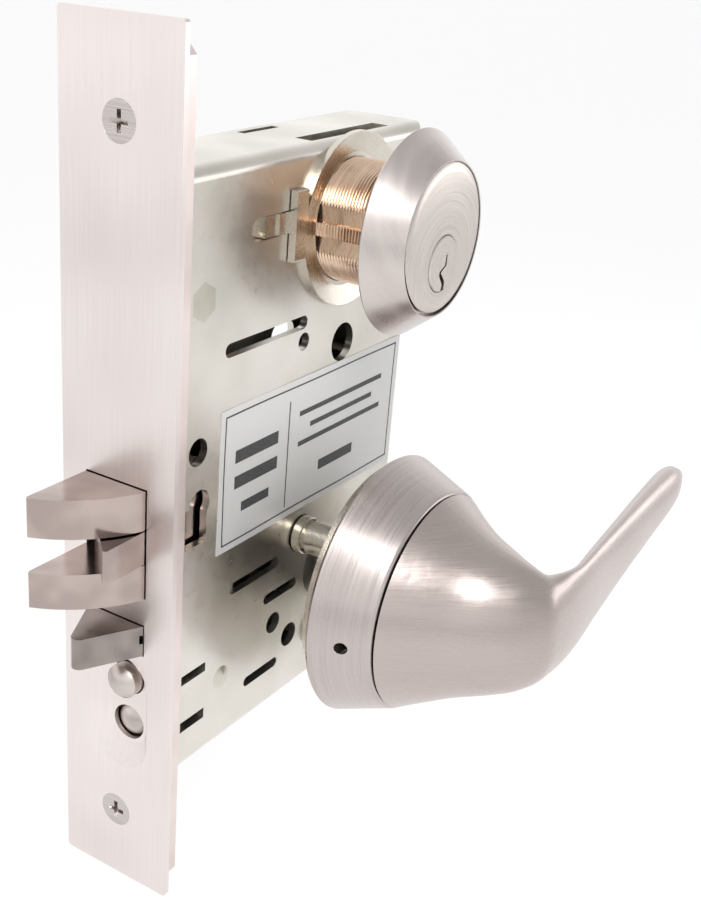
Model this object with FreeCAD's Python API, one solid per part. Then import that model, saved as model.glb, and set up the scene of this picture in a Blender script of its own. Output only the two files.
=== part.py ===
import FreeCAD, Part
import math
import os

os.makedirs("parts", exist_ok=True)
V = FreeCAD.Vector

# Mortise lock with an armored front, a mortise cylinder and a lever trim.
# Frame: +X crosses the door towards the outside trim, +Y runs from the door's edge
# into the door, +Z is up. The origin is the centre of the armored front's outer face.

# ---- driving dimensions, millimetres -------------------------------------------------
front_length = 203.2        # armored front, 8 in
front_width = 31.75         # 1 1/4 in
front_thick = 1.4
front_screw_span = 164.2    # between the two armor screws
front_screw_mid = -0.7
plate_thick = 2.8           # inner front plate
plate_side_margin = 0.4
plate_end_margin = 2.0
mount_screw_span = 186.0    # case mounting screws, behind the armor
mount_hole_radius = 2.9
case_width = 22.2           # 7/8 in case
case_wall = 1.9
port_cover = 1.2            # case metal left over the cylinder port
case_bottom = -72.1
rear_margin = 33.35         # case behind the spindle line
bend_radius = 3.0
backset = 69.85             # 2 3/4 in
cylinder_z = 53.5
lever_z = -38.4
latch_throw = 19.05         # 3/4 in
latch_top = 5.3
latch_height = 26.2
latch_left = -8.8
latch_right = 8.2
guard_throw = 13.6
guard_top = -28.2
guard_height = 7.7
button_throw = 4.5
button_x = 2.7
button_upper_z = -44.3
button_pitch = 12.5
button_radius = 4.15
thread_radius = 14.68       # 1 5/32 in mortise cylinder
thread_pitch = 0.794        # 32 threads per inch
thread_depth = 0.42
cylinder_head_face = 37.2   # X of the cylinder's face
plug_radius = 6.5
plug_drop = 5.8             # plug axis below the cylinder axis
pin_count = 6
pin_pitch = 3.96
trim_back = 26.0            # X of the trim plate's back, against the door
rose_back = 28.3
rose_front = 43.9
rose_radius = 34.54
rose_front_radius = 28.8
spindle_size = 7.94         # 5/16 in square
hub_swing = 45.0            # degrees of lever travel

# ---- clearances ----------------------------------------------------------------------
run_fit = 0.06              # radial, shafts that turn in bores
free_gap = 0.3              # between bodies that pass each other
wide_gap = 0.55             # hub tip in the tail's notch
thread_gap = 0.1            # radial, thread crest to port

# ---- derived places ------------------------------------------------------------------
half = case_width / 2
inner = half - case_wall
plate_back = front_thick + plate_thick
seat_depth = 0.3
case_front = plate_back - seat_depth
case_depth = backset + rear_margin
latch_bottom = latch_top - latch_height
guard_bottom = guard_top - guard_height
button_lower_z = button_upper_z - button_pitch
plug_z = cylinder_z - plug_drop
port_radius = thread_radius + thread_gap
port_rim_radius = port_radius + 5.92
ring_sleeve_radius = port_radius + 1.42
case_top = cylinder_z + ring_sleeve_radius + case_wall + port_cover


# ---- small shape makers --------------------------------------------------------------
def box(x, y, z):
    return Part.makeBox(x[1] - x[0], y[1] - y[0], z[1] - z[0], V(x[0], y[0], z[0]))


def rod_x(r, x, y, z):
    return Part.makeCylinder(r, x[1] - x[0], V(x[0], y, z), V(1, 0, 0))


def rod_y(r, y, x, z):
    return Part.makeCylinder(r, y[1] - y[0], V(x, y[0], z), V(0, 1, 0))


def rod_z(r, z, x, y):
    return Part.makeCylinder(r, z[1] - z[0], V(x, y, z[0]), V(0, 0, 1))


def tube_x(r_out, r_in, x, y, z):
    return rod_x(r_out, x, y, z).cut(rod_x(r_in, (x[0] - 1, x[1] + 1), y, z))


def tube_y(r_out, r_in, y, x, z):
    return rod_y(r_out, y, x, z).cut(rod_y(r_in, (y[0] - 1, y[1] + 1), x, z))


def face_of(points):
    return Part.Face(Part.makePolygon(points + [points[0]]))


def prism_x(points, x):
    """A polygon of (y, z) points, drawn out along X."""
    return face_of([V(x[0], y, z) for y, z in points]).extrude(V(x[1] - x[0], 0, 0))


def prism_z(points, z):
    """A polygon of (x, y) points, drawn out along Z."""
    return face_of([V(x, y, z[0]) for x, y in points]).extrude(V(0, 0, z[1] - z[0]))


def turned_x(profile, y, z):
    """A closed profile of (x, radius) points, turned about the X line through y, z."""
    face = face_of([V(x, y, z + r) for x, r in profile])
    return face.revolve(V(0, y, z), V(1, 0, 0), 360)


def turned_y(profile, x, z):
    """A closed profile of (y, radius) points, turned about the Y line through x, z."""
    face = face_of([V(x + r, y, z) for y, r in profile])
    return face.revolve(V(x, 0, z), V(0, 1, 0), 360)


def slot_x(y, z, x):
    """A slot with round ends, through X. It runs along Y."""
    r = (z[1] - z[0]) / 2
    mid = (z[0] + z[1]) / 2
    body = box(x, (y[0] + r, y[1] - r), z)
    return body.fuse([rod_x(r, x, y[0] + r, mid), rod_x(r, x, y[1] - r, mid)]).removeSplitter()


def rounded_wire_y(y, x, z, r):
    """A rounded rectangle in the plane at y, as one closed wire."""
    flat = face_of([V(x[0], y, z[0]), V(x[1], y, z[0]), V(x[1], y, z[1]), V(x[0], y, z[1])])
    solid = flat.extrude(V(0, 1, 0))
    corners = [e for e in solid.Edges if abs(e.tangentAt(e.FirstParameter).y) > 0.9]
    solid = solid.makeFillet(r, corners)
    front = [f for f in solid.Faces if abs(f.CenterOfMass.y - y) < 1e-6]
    return front[0].OuterWire


def loft(*wires):
    return Part.makeLoft(list(wires), True, True)


def save(name, *shapes):
    shape = shapes[0] if len(shapes) == 1 else Part.makeCompound(list(shapes))
    shape.exportStep("parts/" + name + ".step")


def edges_along(shape, axis, keep):
    """Edges that run along an axis and whose middle passes the test keep."""
    chosen = []
    for e in shape.Edges:
        t = e.tangentAt(e.FirstParameter)
        if abs(getattr(t, axis)) > 0.99 and keep(e.CenterOfMass):
            chosen.append(e)
    return chosen


def near(a, b):
    return abs(a - b) < 1e-3


def grown(span, by):
    return (span[0] - by, span[1] + by)


# ---- front: openings shared by the armor and the inner plate --------------------------
open_gap = 0.25
latch_opening = ((latch_left - open_gap, latch_right + open_gap),
                 (latch_bottom - open_gap, latch_top + open_gap))
guard_left = -8.3
guard_right = 7.9
guard_opening = ((guard_left - open_gap, guard_right + open_gap),
                 (guard_bottom - open_gap, guard_top + open_gap))
dish_depth = 1.5
dish_wall = 1.2
dish_x = (-8.0, 9.3)
dish_z = (button_lower_z - 12.2, button_upper_z + 6.1)
dish_floor_x = (button_x - 5.2, button_x + 5.2)
dish_floor_z = (button_lower_z - 5.4, button_upper_z + 5.2)
button_hole = button_radius + free_gap


def dish(extra, y_open, y_floor):
    """The drawn recess round the two buttons, a tapered tub."""
    mouth = rounded_wire_y(y_open, grown(dish_x, extra), grown(dish_z, extra), 8.0 + extra)
    floor = rounded_wire_y(y_floor, grown(dish_floor_x, extra), grown(dish_floor_z, extra),
                           4.9 + extra)
    return loft(mouth, floor)


# ---- armored front -------------------------------------------------------------------
screw_places = [front_screw_mid + front_screw_span / 2, front_screw_mid - front_screw_span / 2]
screw_head_radius = 4.3
screw_shank_radius = 2.0
screw_head_depth = screw_head_radius - screw_shank_radius


def armor_screw(z, extra=0.0):
    reach = plate_back + 2.0
    profile = [(0.0, 0.0), (0.0, screw_head_radius + extra),
               (screw_head_depth, screw_shank_radius + extra),
               (reach, screw_shank_radius + extra), (reach, 0.0)]
    return turned_y(profile, 0, z)


def armor_front():
    half_width = front_width / 2
    half_length = front_length / 2
    sheet = box((-half_width, half_width), (0, front_thick), (-half_length, half_length))
    sheet = sheet.makeFillet(0.9, edges_along(sheet, "y", lambda c: True))
    tub = dish(dish_wall, 0.0, dish_depth + dish_wall)
    tub = tub.common(box((-half_width, half_width), (front_thick / 2, 20),
                         (-half_length, half_length)))
    shape = sheet.fuse(tub).cut(dish(0.0, 0.0, dish_depth))
    cuts = [box(latch_opening[0], (-1, 9), latch_opening[1]),
            box(guard_opening[0], (-1, 9), guard_opening[1])]
    cuts += [rod_y(button_hole, (-1, 9), button_x, z) for z in (button_upper_z, button_lower_z)]
    cuts += [armor_screw(z, 0.02) for z in screw_places]
    return shape.cut(cuts).removeSplitter()


cross_reach = (2.4, 0.9)        # half length of the cross at its mouth and at its foot
cross_wide = (0.55, 0.28)
cross_depth = 1.7


def cross_arm(z, along_z):
    """One tapered arm of the cross, along X or along Z."""
    wires = []
    for y, reach, wide in ((-0.1, cross_reach[0], cross_wide[0]),
                           (cross_depth, cross_reach[1], cross_wide[1])):
        dx, dz = (wide, reach) if along_z else (reach, wide)
        corners = [V(-dx, y, z - dz), V(dx, y, z - dz), V(dx, y, z + dz), V(-dx, y, z + dz)]
        wires.append(Part.makePolygon(corners + [corners[0]]))
    return loft(*wires)


def phillips(z):
    return [cross_arm(z, False), cross_arm(z, True)]


def front_plate():
    half_width = front_width / 2 - plate_side_margin
    half_length = front_length / 2 - plate_end_margin
    plate = box((-half_width, half_width), (front_thick, plate_back), (-half_length, half_length))
    plate = plate.makeChamfer(4.5, edges_along(plate, "y", lambda c: True))
    tub_room = box(grown(dish_x, dish_wall + free_gap), (0, 9), grown(dish_z, dish_wall + free_gap))
    cuts = [box(latch_opening[0], (-1, 9), latch_opening[1]),
            box(guard_opening[0], (-1, 9), guard_opening[1]), tub_room,
            box((-half, half), (case_front, 9), (case_bottom, case_top)),
            clamp_screw_room()]
    cuts += [armor_screw(z, 0.02) for z in screw_places]
    for z in (-mount_screw_span / 2, mount_screw_span / 2):
        cuts.append(rod_y(mount_hole_radius, (-1, 9), 0, z))
    return plate.cut(cuts).removeSplitter()


# ---- adjusting clamp for the cylinder, worked by a screw in the front plate ------------
clamp_z = (cylinder_z + 0.9, cylinder_z + 5.7)
clamp_screw_x = 5.4
clamp_screw_z = (clamp_z[0] + clamp_z[1]) / 2
clamp_screw_radius = 1.6
clamp_head_x = (half + 0.2, half + 2.1)
clamp_travel = 3.4
port_left = backset - port_rim_radius
clamp_head_y = (port_left - 4.65, port_left - free_gap)
clamp_neck_y = (clamp_head_y[0] - 8.8, clamp_head_y[0] + 0.1)
groove_half = 1.7
groove_floor = thread_radius - 1.4


def clamp_screw():
    head = rod_y(3.2, (front_thick + 0.1, front_thick + 1.7), clamp_screw_x, clamp_screw_z)
    head = head.cut(box((-9, 12), (0, front_thick + 0.8),
                        (clamp_screw_z - 0.4, clamp_screw_z + 0.4)))
    shank = rod_y(clamp_screw_radius, (front_thick + 1.6, 31.0), clamp_screw_x, clamp_screw_z)
    return head.fuse(shank)


def clamp_screw_room():
    head = rod_y(3.3, (front_thick - 1, front_thick + 1.8), clamp_screw_x, clamp_screw_z)
    return head.fuse(rod_y(clamp_screw_radius + 0.05, (0, 9), clamp_screw_x, clamp_screw_z))


def cylinder_clamp():
    head = box(clamp_head_x, clamp_head_y, (cylinder_z - 5.7, cylinder_z + 10.4))
    head = head.makeFillet(0.5, edges_along(head, "y", lambda c: c.x > half + 1))
    step = (clamp_neck_y[0] + clamp_neck_y[1]) / 2
    neck = box((inner - 0.2, half + 0.5), (step, clamp_neck_y[1]), clamp_z)
    neck_low = box((inner - 0.2, half - 0.1), (clamp_neck_y[0], step), clamp_z)
    bar = box((inner - 2.6, inner - 0.15), (24.0, port_left + 2.0), (clamp_z[0] - 2.0, clamp_z[1]))
    finger = box((inner - 2.6, inner - 0.15), (port_left, backset - groove_floor - 0.3),
                 (cylinder_z - groove_half + free_gap, cylinder_z + groove_half - free_gap))
    lug = box((clamp_screw_x - 2.6, inner - 0.15), (22.0, 29.0), (clamp_z[0] - 2.0, clamp_z[1] + 1))
    shape = head.fuse([neck, neck_low, bar, finger, lug])
    hole = rod_y(clamp_screw_radius + free_gap, (20, 45), clamp_screw_x, clamp_screw_z)
    return shape.cut(hole).removeSplitter()


# ---- case ----------------------------------------------------------------------------
post_radius = 3.0
post_hex = 4.45
post_places = [(14.5, 44.6), (25.9, -52.9), (backset - 3.3, -57.4),
               (backset + port_rim_radius + 3.95, cylinder_z + 9.0), (case_depth - 7.7, -60.0)]
post_bore = 1.45
stud_head = (backset - 3.3, -57.4)

trim_post_offset = (-11.85, 13.1)       # from the lever axis, and its opposite
trim_posts = [(backset + trim_post_offset[0], lever_z + trim_post_offset[1]),
              (backset - trim_post_offset[0], lever_z - trim_post_offset[1])]
trim_post_radius = 4.4
trim_post_tap = 2.1
trim_post_hole = 5.0
journal_radius = 9.0


def hexagon(radius, y, z, x):
    points = []
    for i in range(6):
        a = math.radians(60 * i + 30)
        points.append((y + radius * math.cos(a), z + radius * math.sin(a)))
    return prism_x(points, x)


def wall_cuts(x):
    """Openings that both case walls have."""
    cuts = [rod_x(ring_sleeve_radius, x, backset, cylinder_z),
            rod_x(journal_radius + run_fit, x, backset, lever_z)]
    cuts += [rod_x(trim_post_hole, x, y, z) for y, z in trim_posts]
    return cuts


# Openings in the +X wall: where the inner pieces are pinned, watched and assembled.
wall_slots = [((22.7, 54.8), (30.0, 33.3)), ((28.2, 48.7), (-31.3, -28.1)),
              ((43.0, 57.6), (-40.4, -37.6)), ((36.0, 50.6), (-61.2, -58.5)),
              ((clamp_neck_y[0] - 5.2, clamp_head_y[0] + 2.7), grown(clamp_z, 0.2))]
wall_holes = [(53.8, 26.8, 2.2), (71.4, 22.6, 4.9), (14.0, 10.7, 3.3), (47.8, -47.3, 2.9),
              (55.5, -54.2, 3.3), (15.1, -2.4, 3.7)]
wall_windows = [((10.1, 17.9), (-12.3, -2.4)), ((10.3, 19.5), (-48.0, -45.5)),
                ((10.3, 19.4), (-61.3, -58.5))]


def grown_end(level, deep):
    """From deep inside the wall to past it, at the case's top or bottom."""
    return (level - deep, level + 1) if level > 0 else (level - 1, level + deep)


def case_body():
    outer = box((-inner, half), (case_front, case_depth), (case_bottom, case_top))
    folds = edges_along(outer, "y", lambda c: near(c.x, half))
    folds += edges_along(outer, "z", lambda c: near(c.x, half) and near(c.y, case_depth))
    outer = outer.makeFillet(bend_radius, folds)
    room = box((-inner - 1, inner), (case_front - 1, case_depth - case_wall),
               (case_bottom + case_wall, case_top - case_wall))
    folds = edges_along(room, "y", lambda c: near(c.x, inner))
    folds += edges_along(room, "z", lambda c: near(c.x, inner)
                         and near(c.y, case_depth - case_wall))
    room = room.makeFillet(bend_radius - case_wall, folds)
    wall = (inner - 2, half + 1)
    cuts = [room] + wall_cuts(wall)
    cuts += [slot_x(y, z, wall) for y, z in wall_slots]
    cuts += [rod_x(radius, wall, y, z) for y, z, radius in wall_holes]
    cuts += [box(wall, y, z) for y, z in wall_windows]
    cuts += [box((3.6, 8.3), (case_depth - 47.2, case_depth - 13.2), grown_end(case_top, 3.0)),
             box((-half, -inner + 2.2), (case_depth - 52, case_depth - 38),
                 grown_end(case_top, 3.0)),
             box(wall, (19.9, 25.7), grown_end(case_bottom, 1.5)),
             box(wall, (39.8, 41.6), grown_end(case_bottom, 0.7)),
             box(wall, (case_depth - 0.8, case_depth + 1), (-60, 14)),
             hexagon(post_hex, *post_places[0], wall)]
    cuts += [rod_x(post_radius, wall, y, z) for y, z in post_places[1:]]
    return outer.cut(cuts).removeSplitter()


def case_cover():
    plate = box((-half, -inner), (case_front, case_depth), (case_bottom, case_top))
    plate = plate.makeChamfer(1.2, edges_along(plate, "x", lambda c: near(c.y, case_depth)))
    wall = (-half - 1, -inner + 1)
    cuts = wall_cuts(wall)
    cuts += [slot_x((backset + 0.1, backset + 10.2), (15.8, 22.6), wall),
             slot_x((22.7, 50.0), (30.0, 33.3), wall)]
    cuts += [rod_x(post_bore, wall, y, z) for y, z in post_places]
    return plate.cut(cuts).removeSplitter()


def case_posts():
    posts = []
    for i, (y, z) in enumerate(post_places):
        span = (-inner, half)
        post = hexagon(post_hex, y, z, span) if i == 0 else rod_x(post_radius, span, y, z)
        if i == 1:
            post = post.fuse(Part.makeSphere(9.0, V(half + 0.5 - 9.0, y, z)).common(
                rod_x(3.4, (half, half + 2), y, z)))
        if (y, z) == stud_head:
            head = rod_x(4.1, (half, half + 1.3), y, z)
            post = post.fuse(head.makeChamfer(0.4, head.Edges[0:1]))
        posts.append(post.cut(rod_x(post_bore, (-inner - 1, -inner + 8), y, z)))
    return posts


def cover_screw(y, z):
    head = rod_x(2.9, (-half - 1.2, -half), y, z)
    shank = rod_x(post_bore - 0.05, (-half - 0.1, -inner + 7), y, z)
    slot = box((-half - 2, -half - 0.6), (y - 2.2, y + 2.2), (z - 0.35, z + 0.35))
    return head.fuse(shank).cut(slot).removeSplitter()


# ---- cylinder port rings --------------------------------------------------------------
def port_ring(side):
    """The threaded sleeve and its rim, wide outside (side +1) and narrow inside (-1)."""
    rim = port_rim_radius if side > 0 else ring_sleeve_radius + 1.5
    profile = [(inner - 2.7, port_radius), (half + 0.4, port_radius),
               (half + 0.4, port_radius + 1.0), (half + 1.5, rim - 0.3), (half + 1.5, rim),
               (half, rim), (half, ring_sleeve_radius), (inner - 2.7, ring_sleeve_radius)]
    ring = turned_x([(side * x, r) for x, r in profile], backset, cylinder_z)
    if side > 0:
        notch = box((0, inner), (port_left, backset - 10),
                    (cylinder_z - groove_half, cylinder_z + groove_half))
        ring = ring.cut(notch)
    return ring


# ---- mortise cylinder ------------------------------------------------------------------
cylinder_back = 5.5
head_back = cylinder_head_face - 3.0
head_radius = thread_radius + 2.52
head_bevel = (0.45, 2.2)
plug_back = cylinder_back - 0.3
pin_radius = 1.4
pin_bore = 1.48
pin_xs = [cylinder_head_face - 6.2 - pin_pitch * i for i in range(pin_count)]
shear_z = plug_z + plug_radius + 0.06
pin_seat_z = plug_z + 0.6
cap_z = cylinder_z + thread_radius - thread_depth - 0.4


def cylinder_shell():
    profile = [(cylinder_back, 0.0), (cylinder_back, thread_radius - thread_depth)]
    turns = int((head_back - cylinder_back) / thread_pitch)
    for i in range(turns):
        x = cylinder_back + thread_pitch * i
        profile.append((x + thread_pitch / 2, thread_radius))
        profile.append((x + thread_pitch, thread_radius - thread_depth))
    profile += [(head_back, thread_radius - thread_depth), (head_back, head_radius),
                (cylinder_head_face - head_bevel[0], head_radius),
                (cylinder_head_face, head_radius - head_bevel[1]),
                (cylinder_head_face, 0.0)]
    shell = turned_x(profile, backset, cylinder_z)
    cuts = [rod_x(plug_radius + run_fit, (0, 60), backset, plug_z)]
    for side in (-1, 1):
        ys = sorted((backset + side * groove_floor, backset + side * (thread_radius + 3)))
        cuts.append(box((0, head_back - 1.2), ys,
                        (cylinder_z - groove_half, cylinder_z + groove_half)))
    cuts += [rod_z(pin_bore, (plug_z, cylinder_z + thread_radius + 1), x, backset)
             for x in pin_xs]
    return shell.cut(cuts)


# The warded key slot, round the plug's axis as (y, z).
key_slot = [(0.95, 2.0), (1.5, 2.0), (1.45, -0.6), (-0.3, -1.5), (-0.9, -2.0), (1.1, -4.2),
            (1.2, -5.2), (0.5, -8.0), (-0.9, -8.0), (0.1, -5.0), (-1.7, -2.4), (-1.6, -1.6),
            (0.75, -0.4)]


def keyway():
    return prism_x([(backset + y, plug_z + z) for y, z in key_slot], (0, 60))


def plug_rod(radius, x):
    return rod_x(radius, x, backset, plug_z)


def cylinder_plug():
    plug = plug_rod(plug_radius, (plug_back, cylinder_head_face + 0.25))
    plug = plug.makeChamfer(0.25, [e for e in plug.Edges
                                   if near(e.CenterOfMass.x, cylinder_head_face + 0.25)])
    cuts = [keyway()]
    cuts += [rod_z(pin_bore, (pin_seat_z, shear_z + 2), x, backset) for x in pin_xs]
    cuts += [rod_x(cam_screw_radius + 0.05, (0, plug_back + 4), backset + y, plug_z)
             for y in cam_screw_ys]
    return plug.cut(cuts).removeSplitter()


cam_screw_radius = 0.9
cam_screw_ys = (-4.3, 4.3)


def bottom_pins():
    round_top = plug_rod(plug_radius - 0.02, (0, 60))
    return [rod_z(pin_radius, (pin_seat_z, shear_z), x, backset).common(round_top)
            for x in pin_xs]


driver_top = shear_z + 4.5


def driver_pins():
    return [rod_z(pin_radius, (shear_z, driver_top), x, backset) for x in pin_xs]


def pin_springs():
    tube = []
    for x in pin_xs:
        outer = rod_z(pin_radius - 0.05, (driver_top, cap_z - 1.2), x, backset)
        tube.append(outer.cut(rod_z(pin_radius - 0.5, (driver_top - 1, cap_z), x, backset)))
    return tube


def pin_caps():
    return [rod_z(pin_bore, (cap_z - 1.2, cap_z), x, backset) for x in pin_xs]


cam_x = (plug_back - 2.9, plug_back)
cam_lobe = 13.0


def cylinder_cam():
    disc = rod_x(plug_radius - 0.3, cam_x, backset, plug_z)
    lobe = prism_x([(backset - 4.6, plug_z), (backset - 2.6, plug_z - cam_lobe + 1.5),
                    (backset - 1.2, plug_z - cam_lobe), (backset + 1.2, plug_z - cam_lobe),
                    (backset + 2.6, plug_z - cam_lobe + 1.5), (backset + 4.6, plug_z)], cam_x)
    cam = disc.fuse(lobe)
    cam = cam.cut([rod_x(cam_screw_radius + 0.05, (0, 60), backset + y, plug_z)
                   for y in cam_screw_ys])
    return cam.removeSplitter()


def cam_screws():
    screws = []
    for y in cam_screw_ys:
        shank = rod_x(cam_screw_radius, (cam_x[0] - 0.1, plug_back + 3.5), backset + y, plug_z)
        head = rod_x(1.6, (cam_x[0] - 1.0, cam_x[0]), backset + y, plug_z)
        screws.append(head.fuse(shank).removeSplitter())
    return screws


# ---- cylinder collar, which spins freely round the cylinder's head ---------------------
collar_back = 28.4
collar_front = cylinder_head_face - 0.35
collar_back_radius = head_radius + 6.7
collar_front_radius = head_radius + 0.75
collar_bore = head_radius + 0.45
collar_wall = 1.75
collar_flange_front = head_back - free_gap
collar_hang = 0.35          # the loose collar rests on the head, so it hangs below the axis


def cylinder_collar():
    flange = thread_radius + collar_hang + free_gap
    flange_back = collar_flange_front - 1.2
    profile = [(collar_back, collar_back_radius - collar_wall),
               (collar_back, collar_back_radius - 0.55),
               (collar_back + 0.15, collar_back_radius - 0.15),
               (collar_back + 0.5, collar_back_radius),
               (collar_front, collar_front_radius), (collar_front, collar_bore + 0.1),
               (collar_front - 0.1, collar_bore), (collar_flange_front, collar_bore),
               (collar_flange_front, flange), (flange_back, flange),
               (flange_back, collar_bore + 1.6)]
    return turned_x(profile, backset, cylinder_z - collar_hang)


def collar_spring():
    return tube_x(thread_radius + 1.8, thread_radius + 0.4,
                  (collar_flange_front + 0.05, head_back - 0.02), backset, cylinder_z)


# ---- latch bolt with its anti-friction tongue ------------------------------------------
latch_rear = 22.0
latch_gap_z = (latch_top - 17.7, latch_top - 9.2)
latch_gap_rear = 12.6
tail_half = 1.5
tail_z = (latch_top - 19.3, latch_top - 11.3)
tongue_pin_place = (latch_right - 2.8, 7.5)
tongue_pin_radius = 1.25
latch_tip_y = -latch_throw - 0.15


def latch_bolt():
    """Two prongs with a bulged bevel on the +X side, flat on the -X side."""
    tip = V(latch_left + 0.45, latch_tip_y, latch_bottom)
    tip_flat = V(latch_left, latch_tip_y + 0.7, latch_bottom)
    belly = V(latch_right - 6.3, 0.604 * latch_tip_y, latch_bottom)
    root = V(latch_right, -0.9, latch_bottom)
    rear_right = V(latch_right, latch_rear, latch_bottom)
    rear_left = V(latch_left, latch_rear, latch_bottom)
    edges = [Part.Arc(tip, belly, root).toShape(), Part.makeLine(root, rear_right),
             Part.makeLine(rear_right, rear_left), Part.makeLine(rear_left, tip_flat),
             Part.makeLine(tip_flat, tip)]
    bolt = Part.Face(Part.Wire(edges)).extrude(V(0, 0, latch_height))
    across = (latch_left - 1, latch_right + 1)
    cuts = [box(across, (latch_tip_y - 1, latch_gap_rear), latch_gap_z),
            rod_z(tongue_pin_radius, (latch_bottom + 0.6, latch_top - 0.6), *tongue_pin_place),
            box((-tail_half - 0.05, tail_half + 0.05), (latch_rear - 7.5, latch_rear + 1),
                grown(tail_z, 0.1))]
    return bolt.cut(cuts).removeSplitter()


def tongue_pin():
    return rod_z(tongue_pin_radius, (latch_bottom + 0.6, latch_top - 0.6), *tongue_pin_place)


def latch_tongue():
    px, py = tongue_pin_place
    z = (latch_gap_z[0] + 0.15, latch_gap_z[1] - 0.35)
    nose_y = 0.684 * latch_tip_y
    plan = [(latch_right - 0.75, nose_y), (latch_right + 0.05, nose_y + 0.35),
            (latch_right - 0.1, py - 0.5), (px + 1.0, py + 2.4), (px - 2.0, py + 2.4),
            (latch_left + 3.4, py - 1.4), (latch_left + 3.2, -1.2)]
    tongue = prism_z(plan, z).fuse(rod_z(2.6, z, px, py))
    return tongue.cut(rod_z(tongue_pin_radius + run_fit, (-50, 50), px, py)).removeSplitter()


# ---- hub and latch tail ----------------------------------------------------------------
hub_back_swing = 12.0
hub_fore_swing = hub_swing - hub_back_swing
hub_reach = latch_throw / (math.sin(math.radians(hub_fore_swing))
                           + math.sin(math.radians(hub_back_swing)))
tip_radius = 3.0
tip_y = backset - hub_reach * math.sin(math.radians(hub_back_swing))
tip_z = lever_z + hub_reach * math.cos(math.radians(hub_back_swing))
tip_top_z = lever_z + hub_reach + tip_radius
hook_low_z = lever_z + hub_reach * math.cos(math.radians(hub_fore_swing)) - 1.0
arm_root = 4.0              # half width of the hub's arm at the axis
arm_neck = 1.2              # and behind its round tip
hub_radius = 11.0
hub_half = inner - 0.4
spindle_hole = spindle_size + 0.1
spring_solid = 6.4
latch_guide_y = (latch_rear + latch_throw + spring_solid, latch_rear + latch_throw + spring_solid + 2)


def square_x(size, x, y, z):
    return box(x, (y - size / 2, y + size / 2), (z - size / 2, z + size / 2))


def latch_tail():
    x = (-tail_half, tail_half)
    bar = box(x, (latch_rear - 7.4, tip_y - 6.0), tail_z)
    hook = box(x, (tip_y - 6.6, tip_y + 6.6), (hook_low_z, tip_top_z + 6.0))
    notch = box((-9, 9), (tip_y - tip_radius - wide_gap, tip_y + tip_radius + wide_gap),
                (hook_low_z - 1, tip_top_z + 0.4))
    return bar.fuse(hook).cut(notch).removeSplitter()


def latch_guide():
    plate = box((-inner, inner), latch_guide_y, (latch_bottom - 1, latch_top - 4))
    return plate.cut(box(grown((-tail_half, tail_half), 0.4), (0, 99), grown(tail_z, 0.4)))


def latch_spring():
    mid = (tail_z[0] + tail_z[1]) / 2
    return tube_y(5.4, 4.6, (latch_rear + 0.1, latch_guide_y[0] - 0.1), 0, mid)


def lever_hub():
    shape = rod_x(hub_radius, (-hub_half, hub_half), backset, lever_z)
    shape = shape.fuse(rod_x(journal_radius, (-half + 0.1, half - 0.1), backset, lever_z))
    a = math.radians(hub_back_swing)
    ty, tz = -math.sin(a), math.cos(a)
    ny, nz = tz, -ty
    arm = []
    for along, across in ((0, -arm_root), (hub_reach, -arm_neck), (hub_reach, arm_neck), (0, arm_root)):
        arm.append((backset + ty * along + ny * across, lever_z + tz * along + nz * across))
    x = (-tail_half, tail_half)
    shape = shape.fuse([prism_x(arm, x), rod_x(tip_radius, x, tip_y, tip_z)])
    return shape.cut(square_x(spindle_hole, (-20, 20), backset, lever_z)).removeSplitter()


def hub_spring():
    return tube_x(hub_radius + 1.8, hub_radius + 0.3, (2.5, 7.0), backset, lever_z)


# ---- guard bolt and the deadlocking lever ----------------------------------------------
guard_x = -0.2
guard_z = (guard_top + guard_bottom) / 2
guard_rear = 12.0
guard_rod_radius = 1.8
guard_rod_end = guard_rear + guard_throw + 14.4
guard_guide_y = (guard_rear + guard_throw + 4.4, guard_rear + guard_throw + 6.4)


def guard_bolt():
    apex = -guard_throw - 2.7
    plan = [(guard_x, apex), (guard_right, -0.1), (guard_right, guard_rear),
            (guard_left, guard_rear), (guard_left, -0.1)]
    bolt = prism_z(plan, (guard_bottom, guard_top))
    nose = edges_along(bolt, "z", lambda c: near(c.y, apex))
    bolt = bolt.makeFillet(1.8, nose)
    rod = rod_y(guard_rod_radius, (guard_rear - 1, guard_rod_end), guard_x, guard_z)
    notch = box((guard_right - 0.9, guard_right + 1), (-0.9, 1.2), (guard_z - 0.6, guard_z + 1.6))
    return bolt.fuse(rod).cut(notch).removeSplitter()


def guard_guide():
    plate = box((-inner, inner), guard_guide_y, (guard_bottom - 2.0, guard_z + 3.4))
    return plate.cut(rod_y(guard_rod_radius + free_gap, (0, 99), guard_x, guard_z))


def guard_spring():
    return tube_y(2.9, 2.1, (guard_rear + 0.1, guard_guide_y[0] - 0.1), guard_x, guard_z)


deadlock_x = (3.0, 5.4)
deadlock_pivot = (latch_guide_y[0] - 5.5, guard_top + 3.9)
deadlock_pin_radius = 1.5


def deadlock_lever():
    py, pz = deadlock_pivot
    nose_y, nose_z = guard_guide_y[0] - 2.6, guard_top + 2.0
    arm = prism_x([(nose_y, nose_z - 1.2), (py, pz - 2.6), (py + 1.4, pz - 2.2),
                   (py + 3.2, pz + 6.2), (py + 0.9, pz + 6.2), (py - 1.2, pz + 2.6),
                   (nose_y, nose_z + 1.4)], deadlock_x)
    shape = arm.fuse([rod_x(3.0, deadlock_x, py, pz), rod_x(1.4, deadlock_x, nose_y, nose_z)])
    hole = rod_x(deadlock_pin_radius + run_fit, (0, 20), py, pz)
    return shape.cut(hole).removeSplitter()


def pin_across(radius, y, z):
    return rod_x(radius, (-inner, inner), y, z)


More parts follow.
